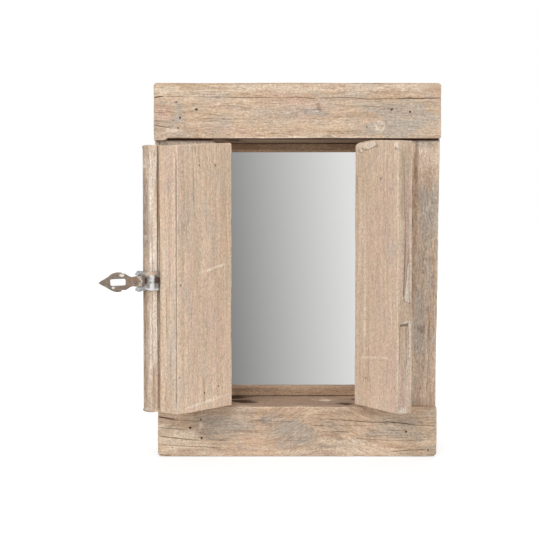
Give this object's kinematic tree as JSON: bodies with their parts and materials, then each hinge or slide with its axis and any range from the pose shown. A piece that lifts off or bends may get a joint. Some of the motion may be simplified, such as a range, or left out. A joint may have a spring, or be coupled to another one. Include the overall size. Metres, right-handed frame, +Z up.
{
  "type": "shuttered window mirror",
  "caption": "Wall mirror in a heavy timber window frame, with two hinged plank shutters and an iron hasp that latches over a staple.",
  "frame": {"origin": "middle of the underside of the bottom rail, at half its depth", "axes": "+X to the viewer's right, +Y to the wall, +Z up"},
  "size_m": [0.3486, 0.1666, 0.392],
  "materials": {
    "rail_timber": "old hardwood, bleached and sanded, open grain",
    "stile_timber": "old hardwood, greyed",
    "shutter_timber": "old hardwood plank, bleached and sanded",
    "astragal_timber": "old hardwood moulding, bleached",
    "slip_timber": "softwood strip, stained brown",
    "backing_ply": "thin plywood, raw",
    "mirror": "silvered float glass",
    "old_iron": "forged iron with brown rust and pale lime-grey patina",
    "nail_iron": "rusty forged nails",
    "hinge_steel": "dull zinc-plated steel"
  },
  "bodies": {
    "window_frame": {"top_rail": "rail_timber", "bottom_rail": "rail_timber", "left_stile": "stile_timber", "right_stile": "stile_timber", "corner_nails": "nail_iron", "top_slip": "slip_timber", "bottom_slip": "slip_timber", "left_slip": "slip_timber", "right_slip": "slip_timber", "slip_pins": "nail_iron", "mirror_glass": "mirror", "backing_board": "backing_ply", "backing_nails": "nail_iron", "frame_hinge_screws": "hinge_steel", "left_lower_hinge_frame_leaf": "hinge_steel", "left_lower_hinge_pin": "hinge_steel", "left_upper_hinge_frame_leaf": "hinge_steel", "left_upper_hinge_pin": "hinge_steel", "right_lower_hinge_frame_leaf": "hinge_steel", "right_lower_hinge_pin": "hinge_steel", "right_upper_hinge_frame_leaf": "hinge_steel", "right_upper_hinge_pin": "hinge_steel"},
    "left_leaf": {"left_shutter": "shutter_timber", "left_shutter_hinge_screws": "hinge_steel", "left_lower_hinge_shutter_leaf": "hinge_steel", "left_upper_hinge_shutter_leaf": "hinge_steel", "astragal": "astragal_timber", "astragal_nails": "nail_iron", "hasp_saddle": "old_iron", "hasp_saddle_nails": "nail_iron", "hasp_pin": "old_iron"},
    "right_leaf": {"right_shutter": "shutter_timber", "right_shutter_hinge_screws": "hinge_steel", "right_lower_hinge_shutter_leaf": "hinge_steel", "right_upper_hinge_shutter_leaf": "hinge_steel", "hasp_staple": "old_iron"},
    "hasp": {"hasp_strap": "old_iron"}
  },
  "joints": [
    {"name": "left_shutter_swing", "type": "hinge", "parent": "window_frame", "child": "left_leaf", "pos_m": [-0.08695, -0.0375, 0.19], "axis": [0, 0, -1], "range_deg": [-128.5, 21.5]},
    {"name": "right_shutter_swing", "type": "hinge", "parent": "window_frame", "child": "right_leaf", "pos_m": [0.08075, -0.0375, 0.19], "axis": [0, 0, 1], "range_deg": [-119.3, 30.7]},
    {"name": "hasp_swing", "type": "hinge", "parent": "left_leaf", "child": "hasp", "pos_m": [-0.15829, -0.11434, 0.1885], "axis": [0, 0, -1], "range_deg": [-51.5, 58.5]}
  ]
}
